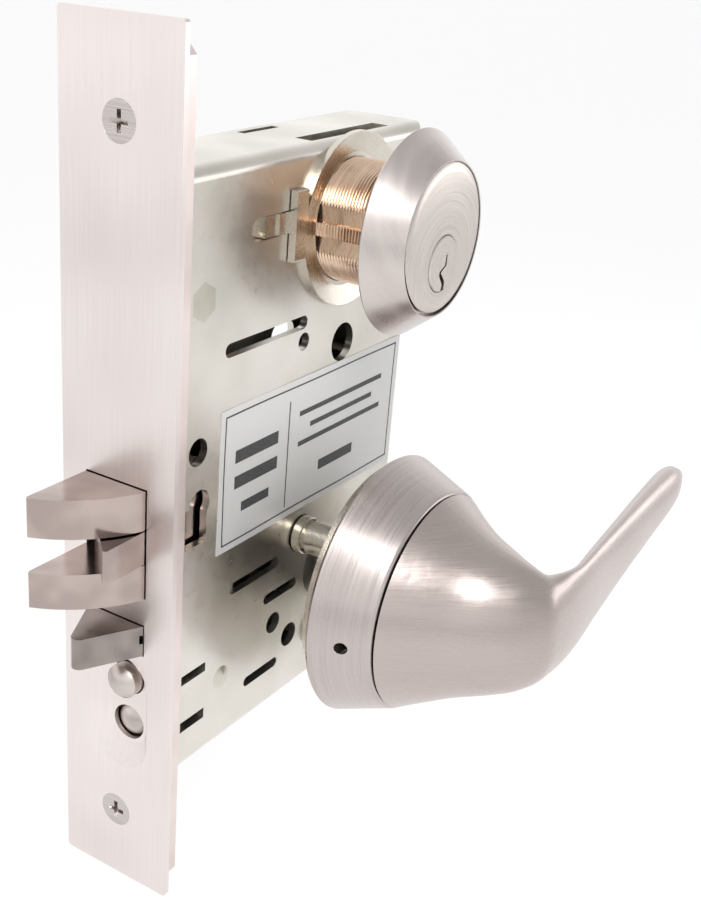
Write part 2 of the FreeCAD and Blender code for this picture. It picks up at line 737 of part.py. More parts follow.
# ---- stop buttons, rocker and stop slide -----------------------------------------------
button_out_y = -3.3
button_flange = (9.8, 11.0)
flange_radius = 4.8
button_guide_y = (plate_back, 8.5)


def stop_button(z, push):
    dome = 2.0
    tip = button_out_y + push
    sphere_r = (button_radius ** 2 + dome ** 2) / (2 * dome)
    stem = rod_y(button_radius, (tip, button_flange[1] + push), button_x, z)
    cap = Part.makeSphere(sphere_r, V(button_x, tip + sphere_r, z))
    front = stem.common(box((-20, 20), (tip - 1, tip + dome), (z - 9, z + 9))).common(cap)
    rest = stem.common(box((-20, 20), (tip + dome, 40), (z - 9, z + 9)))
    flange = rod_y(flange_radius, (button_flange[0] + push, button_flange[1] + push), button_x, z)
    return front.fuse([rest, flange]).removeSplitter()


def button_guide():
    block = box((button_x - 8.3, inner), button_guide_y,
                (button_lower_z - 5.9, button_upper_z + 6.8))
    return block.cut([rod_y(button_hole, (0, 20), button_x, z)
                      for z in (button_upper_z, button_lower_z)])


rocker_x = (button_x - 2.7, button_x + 2.7)
rocker_thick = 2.2
rocker_gap = 0.6
rocker_nose = 4.0               # from the pivot's line to the noses that push the flanges
nose_radius = 1.1
rocker_boss = 2.2
rocker_pin_radius = 1.2
rocker_pivot = (button_flange[1] + button_throw / 2 + rocker_gap + rocker_nose,
                button_upper_z - button_pitch / 2)


def stop_rocker():
    """A bar on a pin, with a nose at each end. The rest pose has the upper button out."""
    py, pz = rocker_pivot
    reach = math.hypot(button_pitch, button_throw) / 2
    bar = box(rocker_x, (py, py + rocker_thick), (pz - reach - nose_radius, pz + reach + nose_radius))
    parts = [rod_x(rocker_boss, rocker_x, py, pz)]
    for side in (-1, 1):
        z = pz + side * reach
        parts.append(box(rocker_x, (py - rocker_nose + nose_radius, py + 0.1),
                         (z - nose_radius, z + nose_radius)))
        parts.append(rod_x(nose_radius, rocker_x, py - rocker_nose + nose_radius, z))
    shape = bar.fuse(parts).cut(rod_x(rocker_pin_radius + run_fit, (-20, 20), py, pz))
    shape.rotate(V(0, py, pz), V(1, 0, 0), math.degrees(math.atan2(button_throw, button_pitch)))
    return shape.removeSplitter()


def stop_slide():
    """The bar that carries the upper button's push back towards the hub."""
    low, high = button_upper_z - 1.7, button_upper_z + 1.7
    bar = box((inner - 1.45, inner - 0.25), (button_flange[0] - 1.1, backset - 15.35), (low, high))
    ears = [box((button_x + 3.7, inner - 0.25), (a, b), (low, high))
            for a, b in ((button_flange[0] - 1.1, button_flange[0]),
                         (button_flange[1], button_flange[1] + 1.1))]
    flange = rod_y(flange_radius + 0.02, button_flange, button_x, button_upper_z)
    stem = rod_y(button_radius + 0.02, (0, 20), button_x, button_upper_z)
    return bar.fuse(ears).cut([flange, stem]).removeSplitter()


# ---- key lever: the cylinder cam pushes it to draw the latch ----------------------------
key_lever_x = (5.6, 7.6)
key_pivot = (case_depth - 9.5, 12.0)
key_pin_radius = 1.5


def key_lever():
    py, pz = key_pivot
    plan = [(py + 2.6, pz - 1), (py + 1.5, pz + 4), (py - 5.5, pz + 19.5), (py - 8.6, pz + 18.2),
            (py - 2.8, pz + 1.5), (py - 3.2, pz - 14), (py + 0.6, pz - 14)]
    shape = prism_x(plan, key_lever_x).fuse(rod_x(3.4, key_lever_x, py, pz))
    return shape.cut(rod_x(key_pin_radius + run_fit, (0, 20), py, pz)).removeSplitter()


# ---- lever trim ------------------------------------------------------------------------
boss_radius = 12.0
boss_x = (rose_back + 4.0, rose_front + 0.7)
ring_groove_x = (boss_x[0] + 1.2, boss_x[0] + 2.2)
bushing_radius = 14.2
spindle_x = (-20.0, rose_front + 6.0)
rose_wall = 2.2
lever_base_x = rose_front + 0.5
# Stations along the lever: its outer edge (X from the base, Y from the lever axis), its inner
# edge the same way, and its half height. Each is an ellipse between the two edges.
lever_stations = [
    (0.0, -28.3, 0.0, 28.3, 28.3),
    (6.6, -23.6, 5.2, 23.6, 25.0),
    (13.6, -18.4, 10.8, 19.2, 21.8),
    (21.3, -13.5, 16.3, 15.9, 19.2),
    (28.9, -6.8, 19.9, 12.5, 16.9),
    (33.3, 1.6, 22.4, 10.4, 14.6),
    (33.6, 12.4, 25.4, 13.3, 13.7),
    (33.3, 20.7, 26.5, 20.3, 12.7),
    (31.7, 38.3, 24.4, 37.7, 11.5),
    (29.6, 62.3, 21.7, 61.6, 10.1),
    (27.5, 88.5, 18.9, 87.7, 8.8),
    (25.5, 112.0, 16.9, 111.2, 7.1),
    (22.5, 123.5, 17.7, 123.9, 2.7),
]
lever_steps = 3             # sections from one station to the next


def smooth_row(values):
    """Values between the given ones, on a curve that never swings past any of them."""
    rises = [b - a for a, b in zip(values, values[1:])]
    slopes = [rises[0]]
    slopes += [2 * a * b / (a + b) if a * b > 0 else 0.0 for a, b in zip(rises, rises[1:])]
    slopes.append(rises[-1])
    row = []
    for k in range(len(rises)):
        for i in range(lever_steps):
            t = i / lever_steps
            row.append(values[k] + slopes[k] * t
                       + (3 * rises[k] - 2 * slopes[k] - slopes[k + 1]) * t ** 2
                       + (slopes[k] + slopes[k + 1] - 2 * rises[k]) * t ** 3)
    return row + [values[-1]]


def ellipse_wire(outer_x, outer_y, inner_x, inner_y, high):
    """An ellipse between the lever's two edges; high runs along Z."""
    outer = V(lever_base_x + outer_x, backset + outer_y, lever_z)
    inner_edge = V(lever_base_x + inner_x, backset + inner_y, lever_z)
    centre = (outer + inner_edge) * 0.5
    wide = (inner_edge - outer).Length / 2
    tall = max(high, wide + 0.01)
    curve = Part.Ellipse(centre + V(0, 0, tall), outer, centre)
    return Part.Wire(curve.toShape())


def lever_grip():
    rows = [smooth_row(column) for column in zip(*lever_stations)]
    return Part.makeLoft([ellipse_wire(*station) for station in zip(*rows)], True, False)


def lever_handle():
    boss = rod_x(boss_radius, boss_x, backset, lever_z)
    groove = tube_x(boss_radius + 1, boss_radius - 0.9, ring_groove_x, backset, lever_z)
    shape = boss.cut(groove).fuse(lever_grip())
    hole = square_x(spindle_hole, (0, spindle_x[1] + 1), backset, lever_z)
    return shape.cut(hole)


def spindle():
    bar = square_x(spindle_size, spindle_x, backset, lever_z)
    return bar.makeChamfer(0.8, edges_along(bar, "y", lambda c: True)
                           + edges_along(bar, "z", lambda c: True))


def retaining_ring():
    ring = tube_x(boss_radius + 1.5, boss_radius - 0.85, grown(ring_groove_x, -0.02),
                  backset, lever_z)
    return ring.cut(box((0, 60), (backset - 2.5, backset + 2.5), (lever_z, lever_z + 20)))


def lever_bushing():
    x = (rose_front - 5.4, rose_front - 0.2)
    ring = tube_x(bushing_radius, boss_radius + run_fit, x, backset, lever_z)
    collar = tube_x(bushing_radius + 1.6, boss_radius + run_fit, (x[0] - 1.2, x[0] + 0.01),
                    backset, lever_z)
    return ring.fuse(collar).removeSplitter()


def rose():
    """A tapered shell, turned, with a round hole for the lever's boss."""
    front_hole = bushing_radius
    profile = [(rose_back, rose_radius - 2.6), (rose_back, rose_radius - 1.3),
               (rose_back + 0.35, rose_radius - 0.5), (rose_back + 1.1, rose_radius),
               (rose_front - 0.7, rose_front_radius + 0.3),
               (rose_front - 0.2, rose_front_radius - 0.1),
               (rose_front, rose_front_radius - 0.6), (rose_front, front_hole),
               (rose_front - rose_wall, front_hole),
               (rose_front - rose_wall, rose_front_radius - rose_wall),
               (rose_back + 2.0, rose_radius - 2.8)]
    shell = turned_x(profile, backset, lever_z)
    spanner = rod_y(1.6, (backset - rose_radius - 2, backset - 20), rose_back + 8.8,
                    lever_z - 2.1)
    return shell.cut(spanner)


plate_radius = rose_radius - 3.1
wood_screw_radius = 2.2
wood_screw_offset = 23.0


def rose_plate():
    """The disc that the rose clips to, dished round the spindle."""
    front = rose_back + 2.2
    profile = [(trim_back, 15.0), (trim_back, plate_radius), (front, plate_radius),
               (front, plate_radius - 1.6), (trim_back + 1.8, plate_radius - 1.6),
               (trim_back + 1.8, 15.0)]
    plate = turned_x(profile, backset, lever_z)
    cuts = [rod_x(trim_post_radius, (20, 40), y, z) for y, z in trim_posts]
    cuts += [rod_x(wood_screw_radius, (20, 40), backset + y, lever_z)
             for y in (-wood_screw_offset, wood_screw_offset)]
    return plate.cut(cuts)


def mounting_post(y, z):
    """A tapped post staked to the rose plate; it passes right through the case."""
    tube = rod_x(trim_post_radius, (-half + 1.3, trim_back + 1.8), y, z)
    collar = rod_x(trim_post_radius + 0.5, (half + 0.2, half + 2.9), y, z)
    collar = collar.makeChamfer(0.3, [e for e in collar.Edges if len(e.Vertexes) == 1])
    tap = rod_x(trim_post_tap, (-half, trim_back - 4), y, z)
    neck = tube_x(trim_post_radius + 1, trim_post_radius - 0.5, (half + 2.9, half + 4.0), y, z)
    return tube.fuse(collar).cut([tap, neck]).removeSplitter()


# ---- label -----------------------------------------------------------------------------
label_y = (22.0, case_depth - 2.9)
label_z = (-18.0, 17.8)


def case_label():
    return box((half, half + 0.1), label_y, label_z)


# ---- write every piece -----------------------------------------------------------------
save("armor_front", armor_front())
save("armor_screws", *[armor_screw(z).cut(phillips(z)) for z in screw_places])
save("front_plate", front_plate())
save("case_body", case_body())
save("case_cover", case_cover())
save("case_posts", *case_posts())
save("cover_screws", *[cover_screw(y, z) for y, z in post_places])
save("case_label", case_label())
save("cylinder_ring", port_ring(1))
save("inside_cylinder_ring", port_ring(-1))
save("cylinder_clamp", cylinder_clamp())
save("clamp_screw", clamp_screw())
save("cylinder_shell", cylinder_shell())
save("cylinder_plug", cylinder_plug())
save("bottom_pins", *bottom_pins())
save("driver_pins", *driver_pins())
save("pin_springs", *pin_springs())
save("pin_caps", *pin_caps())
save("cylinder_cam", cylinder_cam())
save("cam_screws", *cam_screws())
save("cylinder_collar", cylinder_collar())
save("collar_spring", collar_spring())
save("latch_bolt", latch_bolt())
save("latch_tongue", latch_tongue())
save("tongue_pin", tongue_pin())
save("latch_tail", latch_tail())
save("latch_guide", latch_guide())
save("latch_spring", latch_spring())
save("guard_bolt", guard_bolt())
save("guard_guide", guard_guide())
save("guard_spring", guard_spring())
save("deadlock_lever", deadlock_lever())
save("deadlock_pin", pin_across(deadlock_pin_radius, *deadlock_pivot))
save("stop_button_upper", stop_button(button_upper_z, 0.0))
save("stop_button_lower", stop_button(button_lower_z, button_throw))
save("button_guide", button_guide())
save("stop_rocker", stop_rocker())
save("rocker_pin", pin_across(rocker_pin_radius, *rocker_pivot))
save("stop_slide", stop_slide())
save("key_lever", key_lever())
save("key_lever_pin", pin_across(key_pin_radius, *key_pivot))
save("lever_hub", lever_hub())
save("hub_spring", hub_spring())
save("spindle", spindle())
save("lever_handle", lever_handle())
save("lever_bushing", lever_bushing())
save("retaining_ring", retaining_ring())
save("rose", rose())
save("rose_plate", rose_plate())
save("mounting_posts", *[mounting_post(y, z) for y, z in trim_posts])
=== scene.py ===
import math
import bpy
from mathutils import Matrix, Vector


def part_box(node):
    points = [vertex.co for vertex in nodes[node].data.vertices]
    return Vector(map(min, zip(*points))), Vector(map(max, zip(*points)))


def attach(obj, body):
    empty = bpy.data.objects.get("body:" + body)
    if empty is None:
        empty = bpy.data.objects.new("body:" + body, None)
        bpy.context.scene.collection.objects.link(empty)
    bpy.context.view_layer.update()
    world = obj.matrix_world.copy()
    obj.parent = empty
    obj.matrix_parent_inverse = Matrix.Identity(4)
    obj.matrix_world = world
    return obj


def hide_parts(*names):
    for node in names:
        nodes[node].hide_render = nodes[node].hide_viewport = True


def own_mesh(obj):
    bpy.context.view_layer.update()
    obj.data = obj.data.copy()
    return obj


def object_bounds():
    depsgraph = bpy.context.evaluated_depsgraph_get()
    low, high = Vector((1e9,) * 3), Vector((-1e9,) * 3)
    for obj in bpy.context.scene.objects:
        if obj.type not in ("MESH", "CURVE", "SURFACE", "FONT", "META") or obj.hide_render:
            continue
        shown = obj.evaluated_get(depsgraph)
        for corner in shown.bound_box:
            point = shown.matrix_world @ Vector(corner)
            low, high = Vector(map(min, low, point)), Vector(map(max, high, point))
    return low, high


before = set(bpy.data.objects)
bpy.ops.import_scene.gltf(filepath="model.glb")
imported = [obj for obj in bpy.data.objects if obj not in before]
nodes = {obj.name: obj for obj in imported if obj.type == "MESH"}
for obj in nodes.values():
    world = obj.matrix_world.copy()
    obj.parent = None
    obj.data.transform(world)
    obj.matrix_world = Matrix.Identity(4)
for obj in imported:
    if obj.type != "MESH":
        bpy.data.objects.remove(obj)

cad_low, cad_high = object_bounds()


# ---- armored front ---------------------------------------------------------------------------
# The flat strip that covers the lock's edge is satin stainless steel, blanked and drawn round the
# stop buttons. A belt leaves fine upright lines, which stretch every highlight sideways.
def linear(code):
    """An sRGB hex colour as linear RGBA."""
    channels = [int(code[i:i + 2], 16) / 255 for i in (0, 2, 4)]
    return [c / 12.92 if c <= 0.04045 else ((c + 0.055) / 1.055) ** 2.4 for c in channels] + [1.0]


def add(tree, kind, settings=(), links=()):
    """One node, with its settings and the sockets or nodes that feed it."""
    node = tree.nodes.new("ShaderNode" + kind)
    for key, value in dict(settings).items():
        if isinstance(key, str) and hasattr(node, key):
            setattr(node, key, value)
        else:
            node.inputs[key].default_value = value
    for key, source in dict(links).items():
        tree.links.new(source.outputs[0] if hasattr(source, "outputs") else source, node.inputs[key])
    return node


def plain(name, colour, roughness, metallic=1.0):
    """A material of one colour to build a finish on. Its IOR stays at the default."""
    made = bpy.data.materials.new(name)
    made.use_nodes = True
    shader = made.node_tree.nodes["Principled BSDF"]
    shader.inputs["Base Color"].default_value = linear(colour)
    shader.inputs["Metallic"].default_value = metallic
    shader.inputs["Roughness"].default_value = roughness
    return made, made.node_tree, shader


def ramp(tree, factor, stops):
    """A colour ramp of (place, hex colour) stops."""
    node = add(tree, "ValToRGB", links={"Fac": factor})
    elements = node.color_ramp.elements
    while len(elements) < len(stops):
        elements.new(0.5)
    for element, (place, colour) in zip(elements, stops):
        element.position = place
        element.color = linear(colour)
    return node


def grain(tree, size_mm, vector=None, detail=3.0):
    """Noise whose lumps measure size_mm along X, Y and Z."""
    source = vector or add(tree, "TexCoord").outputs["Object"]
    scaled = add(tree, "Mapping", {"vector_type": "POINT", "Scale": [1000 / s for s in size_mm]},
                 {"Vector": source})
    return add(tree, "TexNoise", {"Scale": 1.0, "Detail": detail, "Roughness": 0.6}, {"Vector": scaled})


def spread(tree, factor, low, high):
    """A number from low to high as the noise goes from its usual least to its usual most."""
    return add(tree, "MapRange", {"From Min": 0.3, "From Max": 0.7, "To Min": low, "To Max": high},
               {"Value": factor})


def blend(tree, fine, share, coarse):
    """Two noises as one: that share of the fine one, and the rest of the coarse one."""
    return add(tree, "Math", {"operation": "MULTIPLY_ADD", 1: share},
               {0: fine, 2: spread(tree, coarse, 0, 1 - share)})


def coat(tree, shader, tone, stops, wear, least, most):
    """Colours the shader by tone through the stops, and moves its roughness with wear."""
    tree.links.new(ramp(tree, tone, stops).outputs["Color"], shader.inputs["Base Color"])
    tree.links.new(spread(tree, wear, least, most).outputs[0], shader.inputs["Roughness"])


def relief(tree, shader, height, depth_mm, strength):
    """A bump of that real depth."""
    bump = add(tree, "Bump", {"Strength": strength, "Distance": depth_mm / 1000}, {"Height": height})
    tree.links.new(bump.outputs["Normal"], shader.inputs["Normal"])


def satin_stainless(name, light, dark, lines_mm, roughness, metallic=1.0):
    """Stainless steel, belt brushed: long hairlines a little lighter and darker than the metal."""
    made, tree, shader = plain(name, light, roughness, metallic)
    # Real hairlines are about 0.03 mm wide; these are drawn some ten times as wide, to show.
    lines = grain(tree, lines_mm)
    cloud = grain(tree, (40, 40, 40), detail=1.0)
    coat(tree, shader, blend(tree, lines, 0.55, cloud), [(0.25, dark), (0.75, light)],
         lines, roughness - 0.04, roughness + 0.05)
    relief(tree, shader, lines, 0.008, 0.12)
    return made


def finish(material, *pieces):
    """Gives CAD pieces their material."""
    for piece in pieces:
        nodes[piece].data.materials.clear()
        nodes[piece].data.materials.append(material)


upright_satin = satin_stainless("satin_stainless_upright", "E8E0DD", "D8CFCC", (0.3, 0.3, 26.0), 0.33)
finish(upright_satin, "armor_front")


# ---- armor screws ----------------------------------------------------------------------------
# Two flat head screws hold the armor, turned and with a pressed cross recess. They are zinc plated
# carbon steel, with faint turning rings round their heads.
def centre_of(node):
    low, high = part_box(node)
    return (low + high) / 2


def turned_place(tree, centre, axis):
    """Coordinates for turned work, in metres: X and Y run round the axis, Z runs across the rings."""
    # Rings lie a little wider apart on a side than on a face. Round the axis the grain is read on one
    # circle, so it closes on itself after a turn.
    side_share = 0.7
    grain_radius = 0.012
    place = add(tree, "TexCoord").outputs["Object"]
    arm = add(tree, "VectorMath", {"operation": "SUBTRACT", 1: centre}, {0: place})
    keep = [0.0 if a == axis else 1.0 for a in range(3)]
    flat = add(tree, "VectorMath", {"operation": "MULTIPLY", 1: keep}, {0: arm})
    radius = add(tree, "VectorMath", {"operation": "LENGTH"}, {0: flat}).outputs["Value"]
    split = add(tree, "SeparateXYZ", links={"Vector": arm})
    across = add(tree, "Math", {"operation": "MULTIPLY_ADD", 1: side_share},
                 {0: split.outputs[axis], 2: radius})
    heading = add(tree, "VectorMath", {"operation": "NORMALIZE"}, {0: flat})
    turn = add(tree, "VectorMath", {"operation": "SCALE", "Scale": grain_radius}, {0: heading})
    way_round = add(tree, "SeparateXYZ", links={"Vector": turn})
    first, second = [a for a in range(3) if a != axis]
    return add(tree, "CombineXYZ", links={"X": way_round.outputs[first], "Y": way_round.outputs[second],
                                          "Z": across}).outputs[0]


def turned_metal(name, light, dark, centre, roughness, axis=0, ring_mm=0.22):
    """Metal finished on a lathe or under a spinning wheel: rings round its axis."""
    made, tree, shader = plain(name, light, roughness)
    # Real rings are finer than 0.05 mm; these are drawn wider, to show.
    rings = grain(tree, (16.0, 16.0, ring_mm), turned_place(tree, centre, axis))
    coat(tree, shader, rings, [(0.3, dark), (0.7, light)], rings, roughness - 0.05, roughness + 0.06)
    relief(tree, shader, rings, 0.006, 0.1)
    return made


screw_zinc = turned_metal("bright_zinc_screw", "CFC8C4", "ADA5A2", centre_of("armor_screws"), 0.26, axis=1)
finish(screw_zinc, "armor_screws")


# ---- front plate, case and cover -------------------------------------------------------------
# The case is a pan folded from sheet steel, and its cover and front plate are sheet steel too. All
# are electroplated with zinc and passivated, which leaves a pale film that drifts in tone.
def zinc_plate(name, light, middle, dark, roughness):
    """Zinc plated steel: a slow drift of tone, a fine spangle and the marks of the mill."""
    made, tree, shader = plain(name, light, roughness)
    drift = grain(tree, (34, 34, 34), detail=2.0)
    spangle = grain(tree, (2.4, 2.4, 2.4), detail=4.0)
    coat(tree, shader, blend(tree, spangle, 0.2, drift), [(0.2, dark), (0.5, middle), (0.8, light)],
         spangle, roughness - 0.03, roughness + 0.05)
    # Rolled sheet keeps the mill's shallow, long marks.
    marks = grain(tree, (3.0, 9.0, 1.2), detail=2.0)
    relief(tree, shader, marks, 0.01, 0.1)
    return made


case_zinc = zinc_plate("passivated_zinc_sheet", "DCD8D1", "D2CDC5", "C4C1B8", 0.3)
front_zinc = zinc_plate("passivated_zinc_plate", "EADDDB", "E0D2CF", "D2C5C0", 0.34)
finish(front_zinc, "front_plate")
finish(case_zinc, "case_body", "case_cover", "button_guide", "stop_slide", "latch_guide", "guard_guide")


# ---- case posts and cover screws -------------------------------------------------------------
# Posts staked through the pan's wall space the cover, turned from plain steel bar and plated with
# the case. The cover's screws run into them.
post_zinc = zinc_plate("zinc_plated_bar", "D3CDC3", "C6C1B5", "B2AEA2", 0.3)
finish(post_zinc, "case_posts", "cover_screws")


# ---- stop rocker, levers, hub and the other hidden steel pieces ------------------------------
# These are blanked, sintered or turned from plain steel, tumbled and left with a film of oil. They
# show through the case's slots as dark, slightly uneven grey.
def oiled_steel(name, light, dark, roughness):
    """Plain steel under oil: small pores, and a film that pools."""
    made, tree, shader = plain(name, light, roughness)
    pores = grain(tree, (0.8, 0.8, 0.8), detail=5.0)
    film = grain(tree, (9, 9, 9), detail=1.0)
    coat(tree, shader, blend(tree, pores, 0.4, film), [(0.3, dark), (0.7, light)],
         pores, roughness - 0.08, roughness + 0.1)
    relief(tree, shader, pores, 0.01, 0.15)
    return made


plain_steel = oiled_steel("oiled_plain_steel", "A5A29E", "77746F", 0.42)
finish(plain_steel, "stop_rocker", "rocker_pin", "deadlock_lever", "deadlock_pin", "key_lever",
       "key_lever_pin", "lever_hub", "latch_tail", "tongue_pin", "spindle", "clamp_screw")


# ---- latch bolt, tongue, guard bolt and stop buttons -----------------------------------------
# The latch and its tongue are cast stainless steel, ground flat and polished until they mirror the
# armor beside them. The guard bolt is a darker sintered steel, and the buttons are tumbled.
def polished_steel(name, light, dark, roughness):
    """Steel polished until only a haze and faint lines are left."""
    made, tree, shader = plain(name, light, roughness)
    haze = grain(tree, (9, 9, 9), detail=1.0)
    lines = grain(tree, (0.3, 9.0, 0.3))
    coat(tree, shader, blend(tree, lines, 0.25, haze), [(0.25, dark), (0.75, light)],
         haze, roughness - 0.04, roughness + 0.05)
    relief(tree, shader, lines, 0.004, 0.06)
    return made


latch_steel = polished_steel("polished_cast_stainless", "B9AAA4", "A69893", 0.18)
button_steel = polished_steel("tumbled_button_steel", "C9BFBA", "B3A9A5", 0.3)
guard_steel = polished_steel("polished_sintered_steel", "9F9692", "857D79", 0.2)
finish(latch_steel, "latch_bolt", "latch_tongue")
finish(button_steel, "stop_button_upper", "stop_button_lower")
finish(guard_steel, "guard_bolt")


# ---- cylinder ports, clamp and mounting posts ------------------------------------------------
# The port rings are pressed and tapped, the clamp is blanked, the posts are turned and staked. All
# are plated with bright zinc.
bright_zinc = zinc_plate("bright_zinc_pressing", "DAD3C9", "CCC5BA", "B8B2A6", 0.26)
finish(bright_zinc, "cylinder_ring", "inside_cylinder_ring", "cylinder_clamp", "mounting_posts",
       "rose_plate")


# ---- mortise cylinder ------------------------------------------------------------------------
# The shell is turned from free-cutting brass with a screw of 32 threads per inch, and has a groove
# milled down each side for the clamp. The thread stays raw; the head is satin chromed.
def smooth_mesh(name, points, faces, sharp_degrees):
    """A mesh in the scene, shaded smooth except at edges sharper than that."""
    mesh = bpy.data.meshes.new(name)
    mesh.from_pydata(points, [], faces)
    mesh.shade_smooth()
    mesh.set_sharp_from_angle(angle=math.radians(sharp_degrees))
    made = bpy.data.objects.new(name, mesh)
    bpy.context.scene.collection.objects.link(made)
    return made


def joined(name, rows, closed=False):
    """A mesh over rows of points, each row going round a ring."""
    count = len(rows[0])
    pairs = list(zip(range(len(rows)), range(1, len(rows))))
    if closed:
        pairs.append((len(rows) - 1, 0))
    faces = [(a * count + k, a * count + (k + 1) % count, b * count + (k + 1) % count, b * count + k)
             for a, b in pairs for k in range(count)]
    return smooth_mesh(name, [point for row in rows for point in row], faces, 32)


shell_low, shell_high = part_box("cylinder_shell")
plug_low, plug_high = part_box("cylinder_plug")
cylinder_centre = (shell_low + shell_high) / 2
plug_centre = (plug_low + plug_high) / 2
thread_radius = 0.01468
thread_depth = 0.00042
thread_pitch = 0.000794
rows_per_thread = 8
groove_floor = thread_radius - 0.0014
groove_half = 0.0017
end_radius = thread_radius - 0.0016
head_back = shell_high.x - 0.003
head_radius = (shell_high.y - shell_low.y) / 2
broken_edge = 0.0002
bevel_height = 0.00045
bevel_width = 0.0022
bevel_round = 0.0001
bevel_start = 0.0003
plug_gap = 0.00006
hole_radius = (plug_high.y - plug_low.y) / 2 + plug_gap
hole_chamfer = 0.0003
circle_angles = [math.tau * k / 180 for k in range(180)]


def ring(x, radius, centre):
    return [(x, centre.y + radius * math.cos(a), centre.z + radius * math.sin(a)) for a in circle_angles]


def thread_row(x):
    """One row across the thread: a helix, cut back at the two side grooves."""
    nearly_zero = 1e-6
    points = []
    for a in circle_angles:
        phase = ((x - shell_low.x) / thread_pitch - a / math.tau) % 1.0
        radius = thread_radius - thread_depth * abs(2 * phase - 1)
        side = max(groove_floor / max(abs(math.cos(a)), nearly_zero),
                   groove_half / max(abs(math.sin(a)), nearly_zero))
        radius = min(radius, side)
        points.append((x, cylinder_centre.y + radius * math.cos(a), cylinder_centre.z + radius * math.sin(a)))
    return points


thread_length = head_back - shell_low.x
thread_steps = int(thread_length / thread_pitch * rows_per_thread)
bevel_edge = shell_high.x - bevel_height
shell_rows = [
    ring(shell_low.x, hole_radius, plug_centre),
    ring(shell_low.x, end_radius, cylinder_centre),
]
shell_rows += [thread_row(shell_low.x + thread_length * k / thread_steps) for k in range(thread_steps + 1)]
shell_rows += [
    ring(head_back, head_radius - broken_edge, cylinder_centre),
    ring(head_back + broken_edge, head_radius, cylinder_centre),
    ring(bevel_edge - bevel_round, head_radius, cylinder_centre),
    ring(bevel_edge + bevel_round, head_radius - bevel_start, cylinder_centre),
    ring(shell_high.x, head_radius - bevel_width, cylinder_centre),
    ring(shell_high.x, hole_radius + broken_edge, plug_centre),
    ring(shell_high.x - hole_chamfer, hole_radius, plug_centre),
]
shell = joined("threaded_cylinder_shell", shell_rows, closed=True)
raw_brass = turned_metal("machined_brass", "ECD3BC", "D6B89F", cylinder_centre, 0.27, ring_mm=0.4)
face_satin = turned_metal("satin_chrome_turned", "CFC7C1", "BBB3AE", plug_centre, 0.3)
shell.data.materials.append(raw_brass)
shell.data.materials.append(face_satin)
# The chrome covers the head's face, bevel and rim, and not the shoulder behind it.
for polygon in shell.data.polygons:
    on_head = polygon.center.x > head_back - 0.00001
    polygon.material_index = 1 if on_head and polygon.normal.x > -0.5 else 0
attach(shell, "lock_case")
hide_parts("cylinder_shell")
finish(raw_brass, "bottom_pins", "driver_pins", "pin_caps", "cylinder_cam", "cam_screws", "lever_bushing")
finish(face_satin, "cylinder_plug")


# ---- cylinder collar and rose ----------------------------------------------------------------
# Both are solid rings turned from stainless bar. A brushing wheel goes round them, so their light
# lies in fans.
collar_satin = turned_metal("satin_stainless_collar", "CBC3BF", "BEB6B2", cylinder_centre, 0.27)
rose_satin = turned_metal("satin_stainless_rose", "BDB4B1", "B1A8A5", centre_of("rose"), 0.28)
finish(collar_satin, "cylinder_collar")
finish(rose_satin, "rose")


# ---- lever -----------------------------------------------------------------------------------
# The lever is cast in one piece with its cone, ground and satin brushed along its length.
lever_satin = satin_stainless("satin_stainless_lever", "BDB1AD", "B2A7A3", (9.0, 14.0, 0.35), 0.28)
finish(lever_satin, "lever_handle")


# ---- springs ---------------------------------------------------------------------------------
# All are coiled from music wire with closed ends. In the lock the latch's and the guard's shorten as
# their bolts are drawn; here each coil keeps one length. The hub's is a short torsion coil.
spring_wire = oiled_steel("spring_steel_wire", "B5B3B0", "8A8886", 0.3)


def coil(name, node, axis, wire_mm, turns):
    """A helix of round wire that fills the node's box, wound along the axis."""
    steps_per_turn = 28
    wire_sides = 10
    flat_turns = 0.75
    low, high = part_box(node)
    centre = (low + high) / 2
    wire_radius = wire_mm / 2000
    others = [a for a in range(3) if a != axis]
    radius = (high[others[0]] - low[others[0]]) / 2 - wire_radius
    start, end = low[axis] + wire_radius, high[axis] - wire_radius
    along = Vector((0, 0, 0))
    along[axis] = 1.0
    steps = int(turns * steps_per_turn)
    rows = []
    for k in range(steps + 1):
        share = k / steps
        a = math.tau * turns * share
        # The flat turns at each end don't climb.
        climb = min(1.0, max(0.0, (share * turns - flat_turns) / (turns - 2 * flat_turns)))
        outward = Vector((0, 0, 0))
        outward[others[0]] = math.cos(a)
        outward[others[1]] = math.sin(a)
        wire_centre = outward * radius
        for j in others:
            wire_centre[j] += centre[j]
        wire_centre[axis] = start + (end - start) * climb
        rows.append([wire_centre + (outward * math.cos(b) + along * math.sin(b)) * wire_radius
                     for b in (math.tau * j / wire_sides for j in range(wire_sides))])
    made = joined(name, rows)
    made.data.materials.append(spring_wire)
    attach(made, "lock_case")
    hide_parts(node)
    return made


latch_coil = coil("latch_coil_spring", "latch_spring", 1, 0.8, 9)
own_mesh(latch_coil)
guard_coil = coil("guard_coil_spring", "guard_spring", 1, 0.6, 8)
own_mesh(guard_coil)
coil("hub_coil_spring", "hub_spring", 0, 1.4, 3.2)
finish(spring_wire, "collar_spring", "pin_springs", "retaining_ring")


# ---- label -----------------------------------------------------------------------------------
# A printed foil label lies on the case. It was rubbed down by hand, so it lifts a little along its
# edges. Its frame and divider are printed dark, and plain bars stand where words would be.
label_low, label_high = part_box("case_label")
label_thickness = 0.00008
label_lift = 0.00024


def lift(y, z):
    """How far the foil stands off the case there, in metres."""
    across = (y - label_low.y) / (label_high.y - label_low.y)
    upright = (z - label_low.z) / (label_high.z - label_low.z)
    edge = (2 * upright - 1) ** 2
    wave = (1 + math.sin(11.0 * across + 2.5 * upright)) / 2
    return label_thickness + label_lift * edge * wave


